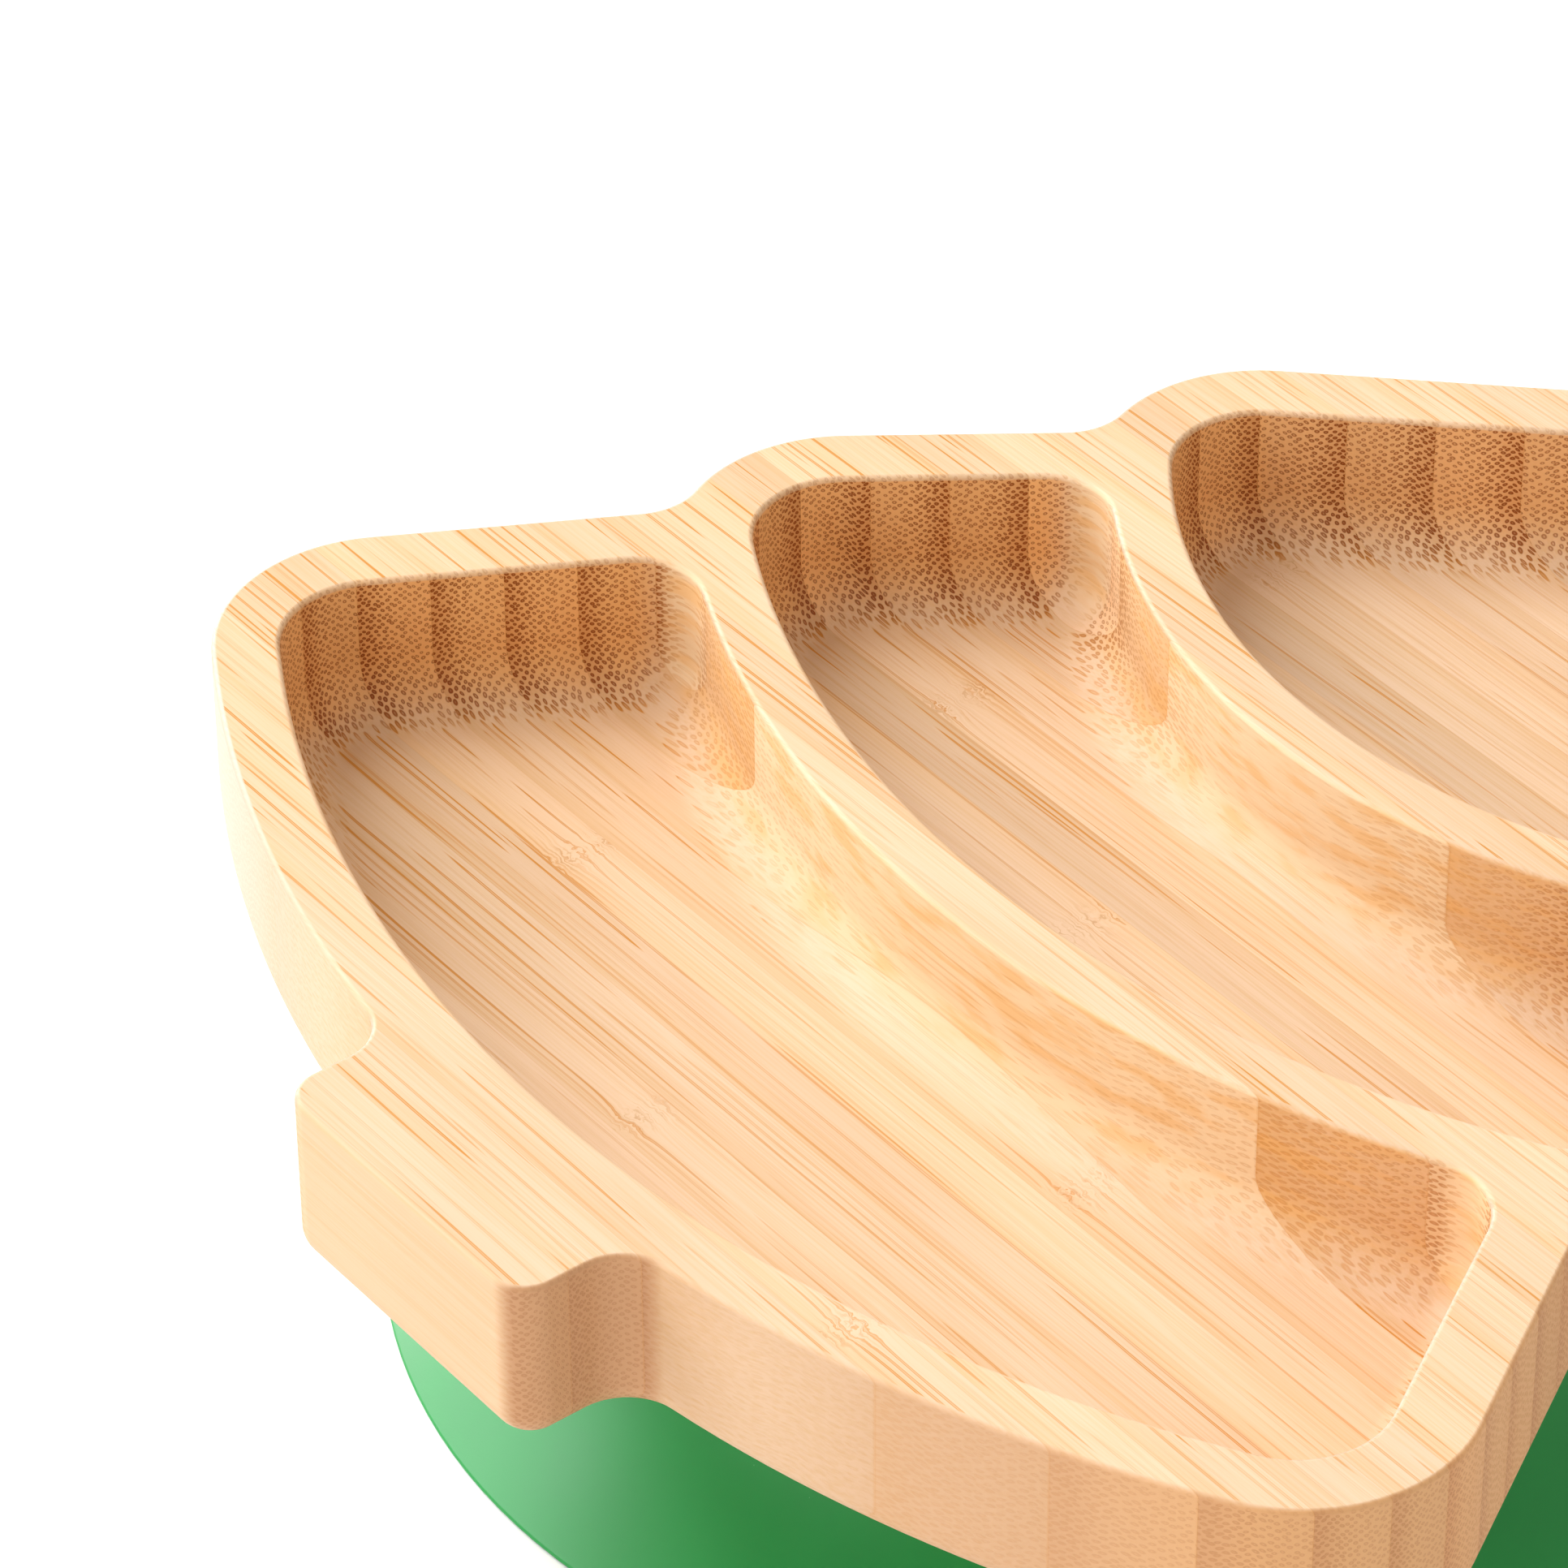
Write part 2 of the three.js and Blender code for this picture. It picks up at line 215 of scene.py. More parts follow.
def add_rings(bm, arcs, levels, smooth=True):
    """Faces between copies of an outline. Returns the edges of the first copy and of the last one.

    Each level gives the copy's offset and height, its slope outwards and upwards, and its sanding.
    """
    slope = bm.verts.layers.float_vector["slope"]
    sanded = bm.verts.layers.float["sanded"]
    rings = []
    for offset, z, side, rise, sanding in levels:
        rings.append([])
        for point, out in ring(arcs, offset):
            vert = bm.verts.new((point.x, point.y, z))
            vert[slope] = (out.x * side, out.y * side, rise)
            vert[sanded] = sanding
            rings[-1].append(vert)
    for low, high in zip(rings, rings[1:]):
        for i in range(len(low)):
            bm.faces.new((low[i - 1], low[i], high[i], high[i - 1])).smooth = smooth
    return [[bm.edges.get((r[i], r[i - 1])) for i in range(len(r))] for r in (rings[0], rings[-1])]


def fill(bm, edges, smooth=True):
    made = bmesh.ops.triangle_fill(bm, use_beauty=True, edges=edges)["geom"]
    faces = [f for f in made if isinstance(f, bmesh.types.BMFace)]
    for face in faces:
        face.smooth = smooth
    return faces


def circle_arcs(radius):
    centre = Vector((0, BASE_SETBACK))
    return [arc(centre, radius, 0, math.pi), arc(centre, radius, math.pi, 2 * math.pi)]


def plate_mesh():
    """The whole plate. Two layers keep the true slope of its curves and where it is sanded finest."""
    bm = bmesh.new()
    bm.verts.layers.float_vector.new("slope")
    bm.verts.layers.float.new("sanded")
    brim = PLATE_THICKNESS - TOP_EASE
    flat = math.pi / 2
    outside = [(BOTTOM_EASE * (math.sin(a) - 1), BOTTOM_EASE * (1 - math.cos(a)),
                math.sin(a), -math.cos(a), a > 0) for a in quarter(FILLET_STEPS)]
    outside += [(TOP_EASE * (math.cos(a) - 1), brim + TOP_EASE * math.sin(a),
                 math.cos(a), math.sin(a), a < flat) for a in quarter(EASE_STEPS)]
    inside = [(FLOOR_FILLET * (math.sin(a) - 1), FLOOR_THICKNESS + FLOOR_FILLET * (1 - math.cos(a)),
               -math.sin(a), math.cos(a), 0) for a in quarter(FILLET_STEPS)]
    inside += [(TOP_EASE * (1 - math.cos(a)), brim + TOP_EASE * math.sin(a),
                -math.cos(a), math.sin(a), 0) for a in quarter(EASE_STEPS)]
    under, upper = add_rings(bm, plate_outline(), outside)
    for outline in (
        compartment_outline(lower, FRONT_RIM, middle),
        compartment_outline(middle, SIDE_RIM, top),
        compartment_outline(top, SIDE_RIM, None),
    ):
        floor, edge = add_rings(bm, outline, inside)
        fill(bm, floor)
        upper += edge
    fill(bm, upper)
    half = BEAD_WIDTH / 2 + BEAD_CLEARANCE
    depth = BEAD_HEIGHT - SEAT_CLEARANCE + BEAD_CLEARANCE
    groove = [(0, 0, 0, -1, 0), (0, depth, 0, -1, 0)]
    outer, outer_roof = add_rings(bm, circle_arcs(BEAD_RADIUS + half), groove, smooth=False)
    inner, inner_roof = add_rings(bm, circle_arcs(BEAD_RADIUS - half), groove, smooth=False)
    fill(bm, outer_roof + inner_roof, smooth=False)
    fill(bm, under + outer)
    fill(bm, inner)
    bmesh.ops.recalc_face_normals(bm, faces=bm.faces)
    return bm


def cut(bm, y, keep_far):
    """Cuts the mesh at a plane across the plate, drops one side and closes the cut."""
    bmesh.ops.bisect_plane(
        bm, geom=bm.verts[:] + bm.edges[:] + bm.faces[:], dist=TOUCHING / 10,
        plane_co=(0, y, 0), plane_no=(0, 1, 0), clear_inner=keep_far, clear_outer=not keep_far,
    )
    rim = [e for e in bm.edges if e.is_boundary and all(abs(v.co.y - y) < TOUCHING for v in e.verts)]
    for face in fill(bm, rim, smooth=False):
        face.normal_update()
        if (face.normal.y > 0) == keep_far:
            face.normal_flip()


def to_object(bm, name, material):
    """An object made from a mesh, with the slopes kept in it as its normals."""
    bm.normal_update()
    slope = bm.verts.layers.float_vector.get("slope")
    normals = [(loop.vert[slope] if slope and face.smooth else face.normal).normalized()
               for face in bm.faces for loop in face.loops]
    mesh = bpy.data.meshes.new(name)
    bm.to_mesh(mesh)
    bm.free()
    if slope:
        mesh.normals_split_custom_set(normals)
    obj = bpy.data.objects.new(name, mesh)
    scene.collection.objects.link(obj)
    mesh.materials.append(material)
    return obj


# Materials

class Graph:
    """Short names for making a material's nodes."""

    def __init__(self, name):
        self.material = bpy.data.materials.new(name)
        self.material.use_nodes = True
        self.tree = self.material.node_tree
        self.shader = self.tree.nodes["Principled BSDF"]

    def node(self, kind, inputs=None, **settings):
        made = self.tree.nodes.new(kind)
        for key, value in settings.items():
            setattr(made, key, value)
        for key, value in (inputs or {}).items():
            self.put(made.inputs[key], value)
        return made

    def put(self, socket, value):
        if isinstance(value, bpy.types.NodeSocket):
            self.tree.links.new(value, socket)
        else:
            socket.default_value = value

    def look(self, **inputs):
        """Settings of the shader, by the names of its sockets with underscores for spaces."""
        for name, value in inputs.items():
            self.put(self.shader.inputs[name.replace("_", " ")], value)

    def math(self, operation, a, b=0.0, c=0.0):
        return self.node("ShaderNodeMath", {0: a, 1: b, 2: c}, operation=operation).outputs[0]

    def add(self, a, b):
        return self.math("ADD", a, b)

    def minus(self, a, b):
        return self.math("SUBTRACT", a, b)

    def times(self, a, b):
        return self.math("MULTIPLY", a, b)

    def times_plus(self, a, b, c):
        return self.math("MULTIPLY_ADD", a, b, c)

    def opposite(self, share):
        return self.minus(1.0, share)

    def faded(self, value, share, loss):
        """A value that loses a part of itself as a share goes from 0 to 1."""
        return self.times(value, self.times_plus(share, -loss, 1.0))

    def decay(self, value):
        return self.math("EXPONENT", self.times(value, -1.0))

    def fit(self, value, low, high, out_low=0.0, out_high=1.0):
        made = self.node("ShaderNodeMapRange", {0: value, 1: low, 2: high, 3: out_low, 4: out_high},
                         interpolation_type="SMOOTHSTEP")
        return made.outputs[0]

    def blend(self, factor, a, b):
        return self.node("ShaderNodeMix", {0: factor, 2: a, 3: b}).outputs[0]

    def length(self, a, b):
        return self.math("SQRT", self.times_plus(a, a, self.times(b, b)))

    def vector(self, x, y, z=0.0):
        return self.node("ShaderNodeCombineXYZ", {0: x, 1: y, 2: z}).outputs[0]

    def split(self, vector):
        return self.node("ShaderNodeSeparateXYZ", {0: vector}).outputs

    def place(self):
        return self.node("ShaderNodeTexCoord").outputs["Object"]

    def cells(self, x, y, randomness):
        """A scatter of cells: two random numbers of the nearest one, and the way from its middle."""
        here = self.vector(x, y)
        made = self.node("ShaderNodeTexVoronoi", {"Vector": here, "Scale": 1.0, "Randomness": randomness},
                         voronoi_dimensions="2D").outputs
        lot = self.node("ShaderNodeSeparateColor", {0: made["Color"]}).outputs
        away = self.node("ShaderNodeVectorMath", {0: here, 1: made["Position"]}, operation="SUBTRACT")
        away = self.split(away.outputs[0])
        return lot[0], lot[1], away[0], away[1]

    def noise(self, vector, scale=1.0, detail=2.0):
        made = self.node("ShaderNodeTexNoise", {"Vector": vector, "Scale": scale, "Detail": detail})
        return made.outputs[0]

    def field(self, a, b, waves, seed, detail=2.0):
        """Noise over two directions with their own wave rates, in a layer of its own."""
        a_rate, b_rate, layer = waves
        here = self.vector(self.times(a, a_rate), self.times(b, b_rate), seed + layer)
        return self.noise(here, detail=detail)

    def mix(self, factor, a, b, blend="MIX"):
        made = self.node("ShaderNodeMix", data_type="RGBA", blend_type=blend)
        for key, value in ((0, factor), (6, a), (7, b)):
            self.put(made.inputs[key], value)
        return made.outputs[2]

    def bump(self, strength, distance, height):
        inputs = {"Strength": strength, "Distance": distance, "Height": height}
        return self.node("ShaderNodeBump", inputs).outputs[0]


def colour(text):
    """A linear colour from a web colour."""
    parts = [int(text[i:i + 2], 16) / 255 for i in (1, 3, 5)]
    return [p / 12.92 if p <= 0.04045 else ((p + 0.055) / 1.055) ** 2.4 for p in parts] + [1]


def shade(rgba, factor):
    return [min(1, c * factor) for c in rgba[:3]] + [1]


# Bamboo: colours of the ground along the fibres and where they are sawn, and of the figure in it
PALE, STRAW, HONEY = colour("#e1c2a2"), colour("#dbb890"), colour("#d6a86e")
SAWN, SAWN_DENSE, SAWN_FINE = colour("#e9b274"), colour("#cc8e54"), colour("#c0916c")
CREAM, GOLD = colour("#ecd1aa"), colour("#e2a95c")
# Painted light: a greyish pale that paints the washed-out highlight of the lamp-lit left wall, and a dull
# tone that paints shade on the eased edges that face the lamps
LIT_WALL_WASH, EDGE_SHADE = colour("#c8b6aa"), colour("#ab9c88")
STREAK, VESSEL, CREASE = colour("#c68433"), colour("#8a4406"), colour("#a3621f")

# Bamboo: the brightness of each strip from the trunk on, the first strip that lies the other way round,
# and the strips that have a knuckle, with its place along X
TONES = {"p": 1.04, "m": 1.0, "w": 0.955, "d": 0.92}
STRIP_TONES = "wwwmpmwwpmmwmpdpmwpmdmpmpwmpmp"
FLIPPED_FROM = 14
KNUCKLES = {4: 42, 6: -10, 9: -48, 10: 26, 14: -6, 16: -44, 22: -40, 25: 31, 28: -12}

# Bamboo: sizes of the figure in millimetres
SWAY_REACH, RISE_REACH, CURL_REACH = 0.9, 2.2, 2.4
KNUCKLE_HALF = 2.2
BUNDLE_RADIUS = 0.21
CORE_RADIUS, CORE_MIDDLE = 0.14, 0.05
DENSE_SPACING, SPARSE_SPACING = 0.66, 1.0
ROW_SPACING = 0.92
PORE_DEPTH = 0.06
LEFT_END = (-25.0, -70.0)
RIGHT_END = (60.0, 85.0)

# Bamboo: waves in a millimetre along and across the fibres, and the layer of the noise
SWAY = (0.018, 0.12, 0)
RISE = (0.012, 0.4, 20)
CURL = (0.7, 0.9, 40)
CLOUD = (0.02, 0.1, 60)
BLOTCH = (0.11, 0.5, 80)

# Bamboo: waves of the finest lines in a millimetre of length, a strip's width and a millimetre of height
FINE_ALONG, FINE_ACROSS, FINE_HEIGHT = 0.03, 22.0, 3.2

# Bamboo: other shares and rates
SLANT = (0.004, 0.014)
LATTICE_RANDOMNESS = 0.4
DENSE_SIDE = 0.45
STREAK_CONTRAST = 4
ROUGHNESS, BUNDLE_ROUGHNESS = 0.5, 0.1
PORE_STRENGTH = 0.3
BAMBOO_GLOSS = 0.28


def fibre_path(g, x, y, z, seed, dice):
    """How far the fibres at a point have wandered across the strip, and their height."""
    sway = g.field(x, y, SWAY, seed)
    rise = g.field(x, y, RISE, seed)
    slant = dice.choice((-1, 1)) * dice.uniform(*SLANT)
    height = g.times_plus(g.add(rise, -0.5), RISE_REACH, z)
    return g.times(g.add(sway, -0.5), SWAY_REACH), g.times_plus(x, slant, height)


def knuckle_path(g, x, y, shift, middle, near, seed, dice):
    """The same shift with the curls of a knuckle, where fibres also part, and how close it is."""
    past = g.times(g.add(x, -float(middle)), 1 / KNUCKLE_HALF)
    close = g.decay(g.times(past, past))
    curl = g.field(x, y, CURL, seed)
    shift = g.times_plus(g.times(g.add(curl, -0.5), close), CURL_REACH, shift)
    aside = g.add(y, -near - dice.uniform(0.35, 0.65) * STRIP_WIDTH)
    parting = g.decay(g.times_plus(aside, g.times(aside, 0.5), g.times(g.times(past, past), 0.35)))
    return g.times_plus(g.times(aside, parting), -0.85, shift), close


def nearest_bundle(g, fibre, height, dice):
    """The girth and strength of the nearest bundle of vessels, and the way from its middle.

    Bundles are close together on one side of the strip and spread out on the other.
    """
    spread = SPARSE_SPACING - DENSE_SPACING
    column = g.math("LOGARITHM", g.times_plus(fibre, spread / DENSE_SPACING, 1.0), math.e)
    column = g.times_plus(column, STRIP_WIDTH / spread, dice.uniform(0, 40))
    row = g.times_plus(height, 1 / ROW_SPACING, dice.uniform(0, 40))
    girth, strength, first, second = g.cells(g.add(column, row), g.minus(column, row), LATTICE_RANDOMNESS)
    half_spacing = g.times_plus(fibre, spread / 2, DENSE_SPACING / 2)
    sideways = g.times(g.add(first, second), half_spacing)
    upward = g.times(g.minus(first, second), ROW_SPACING / 2)
    return girth, strength, sideways, upward


def surface(g, z):
    """How a surface cuts the fibres and how it is finished, in shares from 0 to 1, with a mask for painted
    shade on the eased edges that face the lamps.
    """
    normal = g.split(g.node("ShaderNodeNewGeometry").outputs["Normal"])
    squarely = g.math("ABSOLUTE", normal[0])
    steep = g.length(normal[0], normal[1])
    turned = g.math("DIVIDE", g.math("ABSOLUTE", normal[1]), g.math("MAXIMUM", steep, 0.2))
    lengthwise = g.fit(turned, 0.8, 0.99)
    crosswise = g.times_plus(lengthwise, -0.65, 1.0)
    sanded = g.node("ShaderNodeAttribute", attribute_name="sanded").outputs["Fac"]
    brim = BASE_HEIGHT + PLATE_THICKNESS - TOP_EASE
    eased = g.times(g.fit(z, brim, brim + 0.1), g.fit(steep, 0.05, 0.3))
    # On the eased top edges the ground loses most of its sawn tone: partly the finish of a rounded edge,
    # partly a painted soft highlight along it
    sawn = g.faded(g.times(g.fit(squarely, 0.25, 0.9), crosswise), eased, 0.7)
    return SimpleNamespace(
        crosswise=crosswise, sanded=sanded, eased=eased,
        # Painted shade on the eased edges that face left, towards the lamps, dimming their highlight
        edge_shade=g.times(eased, g.fit(normal[0], 0.0, -0.6)),
        sawn=g.blend(sanded, sawn, g.fit(squarely, 0.05, 0.6, 0.1, 1.0)),
        dotted=g.fit(squarely, 0.04, 0.3),
        dot_tint=g.times(g.fit(squarely, 0.05, 0.6), crosswise),
        inner_wall=g.times(g.times(lengthwise, g.fit(steep, 0.5, 1.0)), g.opposite(sanded)),
    )


def vessels(g, skin, across, girth, sideways, upward):
    """The cut ends of the bundles, whole and without their paler cores."""
    thickness = g.blend(skin.dotted, 0.8 * BUNDLE_RADIUS, BUNDLE_RADIUS)
    radius = g.times(g.times_plus(girth, 0.3, 0.85), thickness)
    bundle = g.fit(g.math("DIVIDE", g.length(sideways, upward), radius), 1.15, 0.75)
    core = g.fit(g.length(g.times(sideways, 1.4), upward), CORE_RADIUS, CORE_MIDDLE)
    core = g.times(core, g.fit(across, 0.0, 0.7, 0.2, 0.65))
    return bundle, g.times(bundle, g.opposite(core))


def bamboo(number, near):
    """Bamboo with its fibres along X: dots where they are cut across, streaks where cut lengthwise."""
    g = Graph(f"bamboo_{number:02d}")
    dice = random.Random(number)
    tone = TONES[STRIP_TONES[number - 1]]
    x, y, z = (g.times(axis, 1 / MILLIMETRE) for axis in g.split(g.place()))
    seed = dice.uniform(0, 90)
    across = g.times(g.add(y, -near), 1 / STRIP_WIDTH)
    if number >= FLIPPED_FROM:
        across = g.opposite(across)

    # Figure
    shift, height = fibre_path(g, x, y, z, seed, dice)
    if number in KNUCKLES:
        shift, close = knuckle_path(g, x, y, shift, KNUCKLES[number], near, seed, dice)
    fibre = g.times_plus(shift, 1 / STRIP_WIDTH, across)
    girth, strength, sideways, upward = nearest_bundle(g, fibre, height, dice)
    skin = surface(g, z)
    bundle, vessel = vessels(g, skin, across, girth, sideways, upward)
    fine = g.vector(g.times(x, FINE_ALONG), g.times(fibre, FINE_ACROSS), g.times(height, FINE_HEIGHT))
    fine = g.noise(fine, detail=3.0)
    cloud = g.field(x, y, CLOUD, seed)
    blotch = g.field(x, height, BLOTCH, seed, detail=3.0)
    left_end = g.fit(x, *LEFT_END)

    # Ground: pale along the fibres, darker where they are sawn, and paler on the steep lengthwise inner
    # walls, partly their own skin and partly painted light
    pale = g.mix(g.fit(fine, 0.35, 0.75), shade(PALE, tone), shade(STRAW, tone))
    pale = g.mix(g.fit(across, DENSE_SIDE, 0.0, 0.0, 0.3), pale, shade(HONEY, tone))
    pale = g.mix(g.times(left_end, 0.18), pale, shade(HONEY, tone))
    sawn = g.mix(g.fit(across, DENSE_SIDE, 0.0, 0.0, 0.7), shade(SAWN, tone), shade(SAWN_DENSE, tone))
    sawn = g.mix(g.times(skin.sanded, g.fit(x, *RIGHT_END, 0.8, 0.5)), sawn, shade(SAWN_FINE, tone))
    ground = g.mix(skin.sawn, pale, sawn)
    ground = g.mix(g.fit(cloud, 0.3, 0.75, 0.0, 0.14), ground, HONEY, "MULTIPLY")
    # Partly the paler inner skin of the culm and partly painted light that brightens the divider walls; on
    # the darker strips the tint is golden
    skin_and_light_tint, share = (GOLD, 0.4) if tone < 1 else (CREAM, 0.75)
    ground = g.mix(g.times(skin.inner_wall, share), ground, skin_and_light_tint)
    ground = g.mix(g.times(g.fit(blotch, 0.45, 0.65, 0.0, 0.5), skin.inner_wall), ground, GOLD)

    # Streaks and dots, fainter where the surface is sanded or eased; on the eased edges the fading is
    # partly a painted highlight
    streak = g.times_plus(g.math("POWER", strength, 2.0), 0.95, 0.06)
    streak = g.times(streak, g.times(g.fit(cloud, 0.3, 0.7, 0.6, 1.1), tone ** -STREAK_CONTRAST))
    streak = g.times(streak, g.times_plus(left_end, 0.7, 1.0))
    dot = g.fit(across, 0.75, 0.0, 0.7, 1.0)
    cover = g.times(g.times(vessel, g.blend(skin.dotted, streak, dot)), skin.crosswise)
    cover = g.faded(g.faded(cover, skin.sanded, 0.7), skin.eased, 0.6)
    face = g.mix(cover, ground, g.mix(skin.dot_tint, STREAK, VESSEL))

    # Glue lines, a painted highlight that washes out the lamp-lit left wall, painted shade on the eased
    # edges that face the lamps, and the creases of a knuckle
    seam = g.fit(g.math("MINIMUM", across, g.opposite(across)), 0.012, 0.002, 0.0, 0.2)
    face = g.mix(seam, face, STREAK)
    # Painted highlight: the sanded wall at the left end faces the lamps and is washed towards a greyish
    # pale
    face = g.mix(g.times(g.times(skin.sanded, left_end), 0.6), face, shade(LIT_WALL_WASH, tone))
    # Painted shade: the eased edges that face the lamps are dulled
    face = g.mix(g.times(skin.edge_shade, 0.8), face, EDGE_SHADE)
    if number in KNUCKLES:
        face = g.mix(g.times(g.times(g.fit(fine, 0.52, 0.68), close), 0.35), face, CREASE)

    g.look(
        Base_Color=face,
        Roughness=g.times_plus(bundle, BUNDLE_ROUGHNESS, ROUGHNESS),
        Normal=g.bump(PORE_STRENGTH, PORE_DEPTH * MILLIMETRE, g.times(vessel, -1.0)),
        Specular_IOR_Level=BAMBOO_GLOSS,
    )
    return g.material


# Silicone: colours, and waves or cells in a metre
GREEN, DUST = colour("#0c8a3b"), colour("#a9dfb4")
MOTTLE_RATE, GRAIN_RATE, DUST_RATE = 60.0, 2600.0, 600.0
CLEAN_SHARE, SPECK_SIZE, SPECK_COVER = 0.84, 0.11, 0.3
GRAIN_STRENGTH, GRAIN_DEPTH = 0.12, 0.04
SMOOTHEST, ROUGHEST = 0.38, 0.44
SILICONE_GLOSS = 0.46


def silicone():
    """Satin green silicone with the faint dust that clings to it."""
    g = Graph("silicone")
    place = g.place()
    mottle = g.noise(place, MOTTLE_RATE, 3.0)
    grain = g.noise(place, GRAIN_RATE)
    dust = g.node("ShaderNodeTexVoronoi", {"Vector": place, "Scale": DUST_RATE, "Randomness": 1.0}).outputs
    lot = g.node("ShaderNodeSeparateColor", {0: dust["Color"]}).outputs
    size = g.fit(lot[0], CLEAN_SHARE, 1.0, 0.0, SPECK_SIZE)
    speck = g.times(g.math("LESS_THAN", dust["Distance"], size), SPECK_COVER)
    green = g.mix(g.fit(mottle, 0.3, 0.7), shade(GREEN, 0.95), shade(GREEN, 1.05))
    g.look(
        Base_Color=g.mix(speck, green, DUST),
        Roughness=g.fit(mottle, 0.2, 0.8, SMOOTHEST, ROUGHEST),
        Normal=g.bump(GRAIN_STRENGTH, GRAIN_DEPTH * MILLIMETRE, grain),
        Specular_IOR_Level=SILICONE_GLOSS,
    )
    return g.material


# Strips of the plate
plate = plate_mesh()
into_frame = Matrix.Scale(MILLIMETRE, 4) @ Matrix.Translation((0, -PLATE_LENGTH / 2, BASE_HEIGHT))
for number in range(1, STRIP_COUNT + 1):
    near = (number - 1) * STRIP_WIDTH - FIRST_STRIP_TRIM
    strip = plate.copy()
    if number > 1:
        cut(strip, near + GLUE_GAP / 2, True)
    if number < STRIP_COUNT:
        cut(strip, near + STRIP_WIDTH - GLUE_GAP / 2, False)
    strip.transform(into_frame)
    piece = to_object(strip, f"strip_{number:02d}", bamboo(number, near - PLATE_LENGTH / 2))
    node = f"bamboo_strip_{number:02d}"
    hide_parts(node)
    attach(piece, "plate")
plate.free()


# Suction base

def bezier(a, b, c, steps):
    ts = [i / steps for i in range(steps + 1)]
    return [a * (1 - t) ** 2 + b * 2 * t * (1 - t) + c * t ** 2 for t in ts]


def rounded(corners):
    """A profile of points, each with the length that its rounding takes from both of its sides."""
    result = []
    for i, (point, trim) in enumerate(corners):
        if trim == 0:
            result.append(point)
            continue
        before, after = corners[i - 1][0] - point, corners[i + 1][0] - point
        start = point + before.normalized() * trim
        end = point + after.normalized() * trim
        result += bezier(start, point, end, CORNER_STEPS)
    return result


def base_profile():
    seat = BASE_HEIGHT - SEAT_CLEARANCE
    crown = Vector((SEAT_RADIUS, seat - SEAT_THICKNESS))
    flare = Vector((SEAT_RADIUS + SKIRT_THICKNESS, BASE_HEIGHT / 3))
    outside = bezier(crown, flare, Vector((BASE_RADIUS, LIP_EDGE)), SKIRT_STEPS)
    inside = bezier(
        Vector((crown.x - SKIRT_THICKNESS, crown.y)),
        Vector((flare.x - SKIRT_THICKNESS, flare.y - LIP_THICKNESS)),
        Vector((BASE_RADIUS - LIP_WIDTH, 0)), SKIRT_STEPS,
    )
    inner, outer = BEAD_RADIUS - BEAD_WIDTH / 2, BEAD_RADIUS + BEAD_WIDTH / 2
    bead_top = seat + BEAD_HEIGHT
    return rounded([
        (Vector((0, crown.y)), 0), *((p, 0) for p in inside),
        (Vector((BASE_RADIUS, 0)), LIP_ROUNDING[0]), (outside[-1], LIP_ROUNDING[1]),
        *((p, 0) for p in outside[-2::-1]),
        (Vector((SEAT_RADIUS, seat)), SEAT_CORNER),
        (Vector((outer, seat)), 0), (Vector((outer, bead_top)), BEAD_CHAMFER),
        (Vector((inner, bead_top)), BEAD_CHAMFER), (Vector((inner, seat)), 0), (Vector((0, seat)), 0),
    ])


def base_mesh():
    bm = bmesh.new()
    profile = base_profile()
    turns = [2 * math.pi * i / BASE_SEGMENTS for i in range(BASE_SEGMENTS)]
    rings = [[bm.verts.new((p.x * math.cos(a), p.x * math.sin(a), p.y)) for a in turns]
             for p in profile[1:-1]]
    for low, high in zip(rings, rings[1:]):
        for i in range(BASE_SEGMENTS):
            j = (i + 1) % BASE_SEGMENTS
            bm.faces.new((low[i], low[j], high[j], high[i]))
    for hub, rim in ((profile[0], rings[0]), (profile[-1], rings[-1])):
        centre = bm.verts.new((0, 0, hub.y))
        for i in range(BASE_SEGMENTS):
            bm.faces.new((centre, rim[i], rim[(i + 1) % BASE_SEGMENTS]))
    bmesh.ops.recalc_face_normals(bm, faces=bm.faces)
    bm.transform(Matrix.Scale(MILLIMETRE, 4) @ Matrix.Translation((0, BASE_SETBACK - PLATE_LENGTH / 2, 0)))
    return bm


base = to_object(base_mesh(), "base", silicone())
base.data.shade_smooth()
base.data.set_sharp_from_angle(angle=SHARP_FROM)
base.modifiers.new("flat_faces_first", "WEIGHTED_NORMAL").keep_sharp = True
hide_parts("suction_base")
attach(base, "suction_base")

# Floor, with lengths in metres
FLOOR_HALF, FLOOR_DROP = 3, 0.0002
PAPER_DARKER, PAPER_LIGHTER = [0.9, 0.9, 0.9, 1], [0.92, 0.92, 0.92, 1]
PAPER_RATE, PAPER_ROUGHNESS = 3.0, 0.8
floor_bm = bmesh.new()
bmesh.ops.create_grid(floor_bm, x_segments=1, y_segments=1, size=FLOOR_HALF,
                      matrix=Matrix.Translation((0, 0, -FLOOR_DROP)))
paper = Graph("paper")
sheet = paper.noise(paper.place(), PAPER_RATE)
paper.look(Base_Color=paper.mix(sheet, PAPER_DARKER, PAPER_LIGHTER), Roughness=PAPER_ROUGHNESS)
to_object(floor_bm, "floor", paper.material)

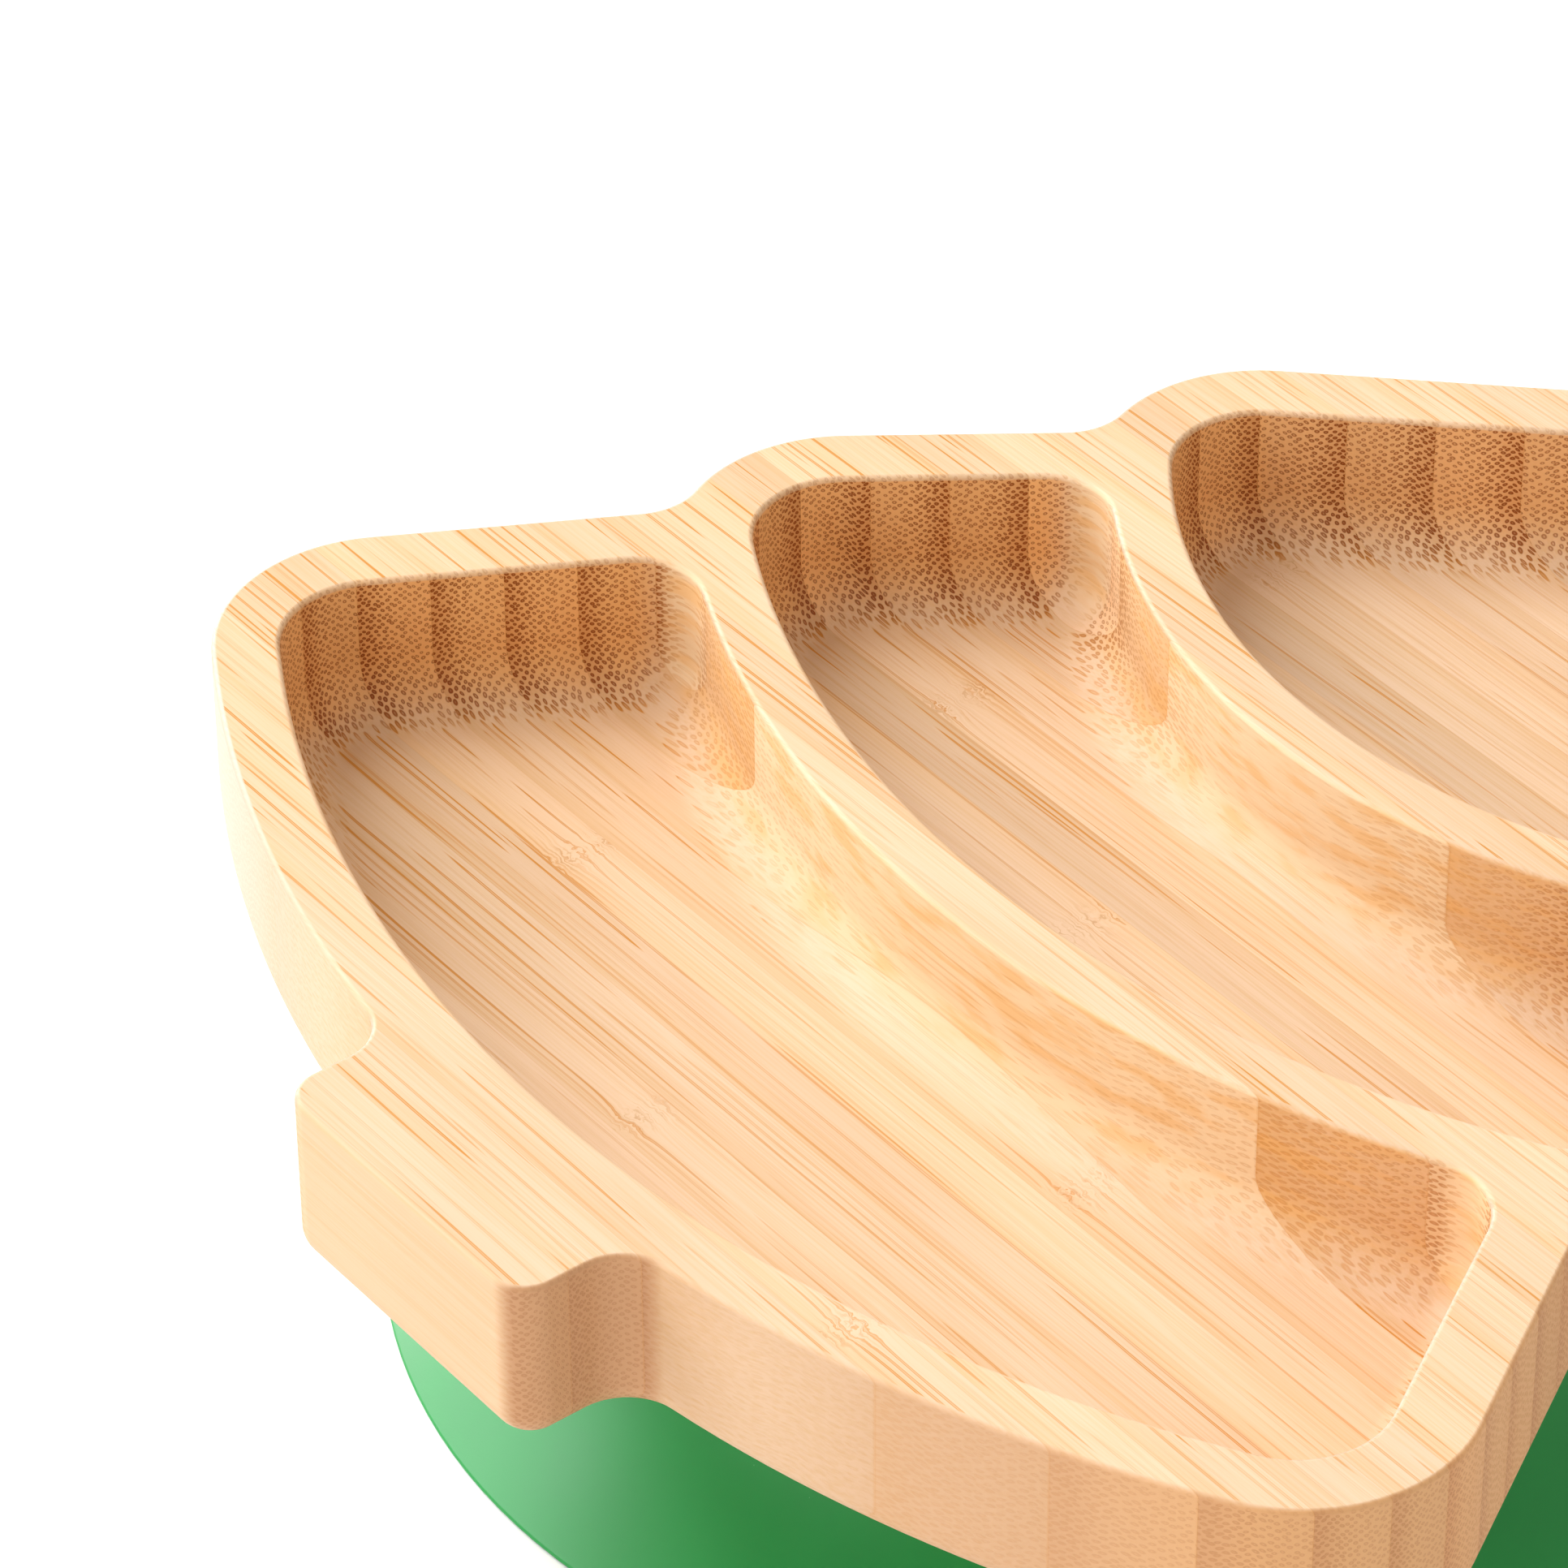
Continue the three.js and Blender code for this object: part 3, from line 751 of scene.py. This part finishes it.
# Light: a warm sky that is brighter on the left, and four soft lamps, in metres and watts
SKY_TINT = (1, 0.96, 0.89, 1)
SKY_STRENGTH, SKY_SLOPE = 0.76, -0.3
KEY_TINT = (0.97, 1, 1.06)
AIM = Vector((0, 0, 0.03))

scene.view_settings.view_transform = "Standard"
world = bpy.data.worlds.new("studio")
world.use_nodes = True
sky = world.node_tree
background = sky.nodes["Background"]
background.inputs["Color"].default_value = SKY_TINT
toward = sky.nodes.new("ShaderNodeSeparateXYZ")
sky.links.new(sky.nodes.new("ShaderNodeTexCoord").outputs["Generated"], toward.inputs[0])
falloff = sky.nodes.new("ShaderNodeMath")
falloff.operation = "MULTIPLY_ADD"
sky.links.new(toward.outputs["X"], falloff.inputs[0])
falloff.inputs[1].default_value = SKY_SLOPE
falloff.inputs[2].default_value = SKY_STRENGTH
sky.links.new(falloff.outputs[0], background.inputs["Strength"])
scene.world = world


def area_light(name, place, size, power, tint=(1, 1, 1)):
    light = bpy.data.lights.new(name, "AREA")
    light.shape = "DISK"
    light.size = size
    light.energy = power
    light.color = tint
    lamp = bpy.data.objects.new(name, light)
    lamp.location = place
    lamp.rotation_euler = (AIM - Vector(place)).to_track_quat("-Z", "Y").to_euler()
    scene.collection.objects.link(lamp)


area_light("key", (-1.27, -0.64, 1.41), 1.7, 39.5, KEY_TINT)
area_light("side", (-2.2, 0.1, 0.42), 0.8, 38)
area_light("front", (0.1, -2.3, 0.75), 1.6, 15)
area_light("fill", (1.9, 0.5, 0.5), 1.5, 6.5)

# Camera: its place in metres and its three directions, with the lens in millimetres
CAMERA_PLACE = (0.46153, -0.40607, 0.53087)
CAMERA_RIGHT = (0.61206, 0.79078, -0.00714)
CAMERA_UP = (-0.48287, 0.38086, 0.78853)
CAMERA_BACK = (0.62627, -0.47918, 0.61496)
lens = bpy.data.cameras.new("camera")
lens.sensor_width = 36
lens.lens = 175.81
lens.clip_end = 10
camera = bpy.data.objects.new("camera", lens)
turn = Matrix((CAMERA_RIGHT, CAMERA_UP, CAMERA_BACK)).transposed().to_4x4()
camera.matrix_world = Matrix.Translation(CAMERA_PLACE) @ turn
scene.collection.objects.link(camera)
scene.camera = camera

bpy.context.view_layer.update()
